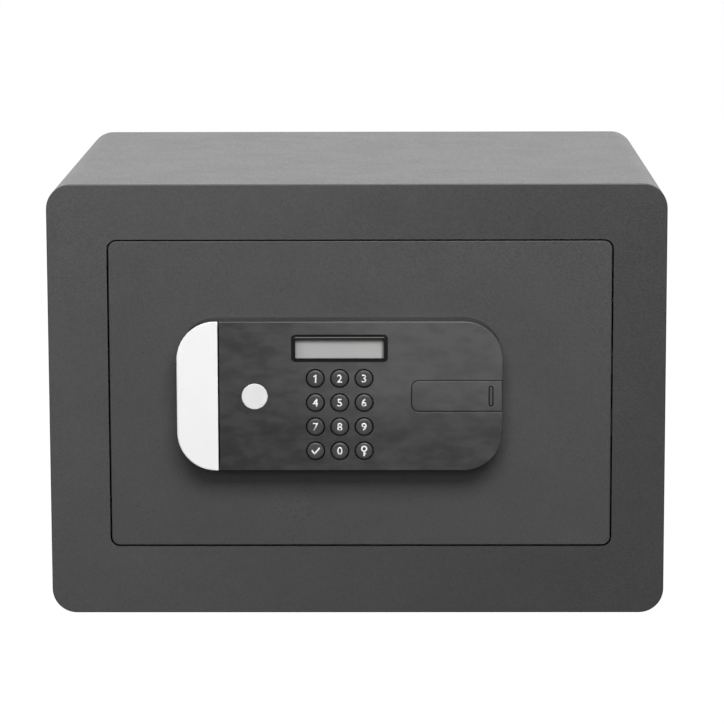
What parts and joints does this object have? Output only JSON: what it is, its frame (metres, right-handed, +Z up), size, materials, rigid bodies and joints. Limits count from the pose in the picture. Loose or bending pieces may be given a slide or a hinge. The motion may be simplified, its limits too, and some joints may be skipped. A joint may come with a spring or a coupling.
{
  "type": "electronic safe",
  "caption": "Small steel safe with a flush hinged door, motor-driven locking bolts, a keypad housing with a display, and a key lock under a sliding cover.",
  "frame": {"origin": "middle of the cabinet's base, on the surface that it stands on", "axes": "+X to the right as seen from the front, +Y from the front to the back, +Z up"},
  "size_m": [0.35, 0.3167, 0.247],
  "materials": {
    "powder_coat": "matte fine-grained powder coat, dark grey",
    "case_coat": "satin black-grey coat",
    "floor_felt": "dark needle felt",
    "zinc_steel": "zinc plated",
    "bolt_steel": "bright nickel plated",
    "brass": "plain brass",
    "cover_plastic": "fine moulded texture",
    "housing_plastic": "satin charcoal with a faint brushed grain",
    "key_plastic": "satin black",
    "white_plastic": "satin white",
    "bezel_gloss": "polished black",
    "display_glass": "clear window",
    "display_grey": "grey liquid crystal glass",
    "circuit_board": "green solder mask",
    "dome_rubber": "grey silicone",
    "cable_rubber": "black jacket",
    "cell_jacket": "plain blue sleeve",
    "red_plastic": "red push button"
  },
  "bodies": {
    "cabinet": {"cabinet_shell": "powder_coat", "front_frame": "powder_coat", "back_panel": "powder_coat", "door_jamb": "powder_coat", "hinge_pins": "zinc_steel", "floor_mat": "floor_felt"},
    "door": {"door_plate": "powder_coat", "hinge_knuckles": "powder_coat", "hinge_bushes": "cover_plastic", "mechanism_case": "case_coat", "inner_cover": "cover_plastic", "inner_cover_screws": "zinc_steel", "bolt_guide": "zinc_steel", "guide_posts": "zinc_steel", "guide_screws": "brass", "motor_gearbox": "zinc_steel", "gearbox_screws": "zinc_steel", "motor_can": "zinc_steel", "control_board": "circuit_board", "board_standoffs": "brass", "battery_tray": "cover_plastic", "battery_cells": "cell_jacket", "battery_contacts": "brass", "wire_leads": "cable_rubber", "keypad_cable": "cable_rubber", "cable_grommet": "cover_plastic", "housing_tub": "housing_plastic", "fascia": "housing_plastic", "end_cap": "white_plastic", "badge_disc": "white_plastic", "display_bezel": "bezel_gloss", "display_lens": "display_glass", "display_module": "display_grey", "keypad_mat": "dome_rubber", "keypad_board": "circuit_board", "housing_screws": "zinc_steel", "lock_cylinder": "bolt_steel", "lock_nut": "zinc_steel"},
    "bolts": {"bolt_carriage": "zinc_steel", "locking_bolts": "bolt_steel", "bolt_screws": "zinc_steel"},
    "pinion": {"drive_pinion": "brass"},
    "lock_barrel": {"lock_plug": "brass", "override_cam": "zinc_steel", "cam_nut": "zinc_steel"},
    "cover_slider": {"key_cover": "housing_plastic"},
    "battery_lid": {"battery_cover": "cover_plastic"},
    "reset_plunger": {"reset_button": "red_plastic"},
    "key_1_cap": {"key_1": "key_plastic"},
    "key_2_cap": {"key_2": "key_plastic"},
    "key_3_cap": {"key_3": "key_plastic"},
    "key_4_cap": {"key_4": "key_plastic"},
    "key_5_cap": {"key_5": "key_plastic"},
    "key_6_cap": {"key_6": "key_plastic"},
    "key_7_cap": {"key_7": "key_plastic"},
    "key_8_cap": {"key_8": "key_plastic"},
    "key_9_cap": {"key_9": "key_plastic"},
    "key_enter_cap": {"key_enter": "key_plastic"},
    "key_0_cap": {"key_0": "key_plastic"},
    "key_unlock_cap": {"key_unlock": "key_plastic"}
  },
  "joints": [
    {"name": "door_hinge", "type": "hinge", "parent": "cabinet", "child": "door", "pos_m": [-0.12435, -0.136, 0.1272], "axis": [0, 0, -1], "range_deg": [0, 90]},
    {"name": "bolt_slide", "type": "slide", "parent": "door", "child": "bolts", "axis": [1, 0, 0], "range_m": [0, 0.018]},
    {"name": "pinion_turn", "type": "hinge", "parent": "door", "child": "pinion", "pos_m": [0.044, -0.1195, 0.1657], "axis": [0, -1, 0], "range_deg": [0, 130]},
    {"name": "lock_turn", "type": "hinge", "parent": "door", "child": "lock_barrel", "pos_m": [0.05, -0.14, 0.1287], "axis": [0, 1, 0], "range_deg": [-90, 0]},
    {"name": "cover_slide", "type": "slide", "parent": "door", "child": "cover_slider", "axis": [1, 0, 0], "range_m": [0, 0.032]},
    {"name": "battery_cover_pull", "type": "slide", "parent": "door", "child": "battery_lid", "axis": [0, 1, 0], "range_m": [0, 0.03]},
    {"name": "reset_press", "type": "slide", "parent": "door", "child": "reset_plunger", "axis": [0, -1, 0], "range_m": [0, 0.0012], "stiffness_N_per_m": 400, "springref_m": -0.0008},
    {"name": "key_1_press", "type": "slide", "parent": "door", "child": "key_1_cap", "axis": [0, 1, 0], "range_m": [0, 0.0012], "stiffness_N_per_m": 500, "springref_m": -0.0008},
    {"name": "key_2_press", "type": "slide", "parent": "door", "child": "key_2_cap", "axis": [0, 1, 0], "range_m": [0, 0.0012], "stiffness_N_per_m": 500, "springref_m": -0.0008},
    {"name": "key_3_press", "type": "slide", "parent": "door", "child": "key_3_cap", "axis": [0, 1, 0], "range_m": [0, 0.0012], "stiffness_N_per_m": 500, "springref_m": -0.0008},
    {"name": "key_4_press", "type": "slide", "parent": "door", "child": "key_4_cap", "axis": [0, 1, 0], "range_m": [0, 0.0012], "stiffness_N_per_m": 500, "springref_m": -0.0008},
    {"name": "key_5_press", "type": "slide", "parent": "door", "child": "key_5_cap", "axis": [0, 1, 0], "range_m": [0, 0.0012], "stiffness_N_per_m": 500, "springref_m": -0.0008},
    {"name": "key_6_press", "type": "slide", "parent": "door", "child": "key_6_cap", "axis": [0, 1, 0], "range_m": [0, 0.0012], "stiffness_N_per_m": 500, "springref_m": -0.0008},
    {"name": "key_7_press", "type": "slide", "parent": "door", "child": "key_7_cap", "axis": [0, 1, 0], "range_m": [0, 0.0012], "stiffness_N_per_m": 500, "springref_m": -0.0008},
    {"name": "key_8_press", "type": "slide", "parent": "door", "child": "key_8_cap", "axis": [0, 1, 0], "range_m": [0, 0.0012], "stiffness_N_per_m": 500, "springref_m": -0.0008},
    {"name": "key_9_press", "type": "slide", "parent": "door", "child": "key_9_cap", "axis": [0, 1, 0], "range_m": [0, 0.0012], "stiffness_N_per_m": 500, "springref_m": -0.0008},
    {"name": "key_enter_press", "type": "slide", "parent": "door", "child": "key_enter_cap", "axis": [0, 1, 0], "range_m": [0, 0.0012], "stiffness_N_per_m": 500, "springref_m": -0.0008},
    {"name": "key_0_press", "type": "slide", "parent": "door", "child": "key_0_cap", "axis": [0, 1, 0], "range_m": [0, 0.0012], "stiffness_N_per_m": 500, "springref_m": -0.0008},
    {"name": "key_unlock_press", "type": "slide", "parent": "door", "child": "key_unlock_cap", "axis": [0, 1, 0], "range_m": [0, 0.0012], "stiffness_N_per_m": 500, "springref_m": -0.0008}
  ],
  "couplings": [
    {"joint": "pinion_turn", "follows": "bolt_slide", "rad_per_m": 125}
  ]
}
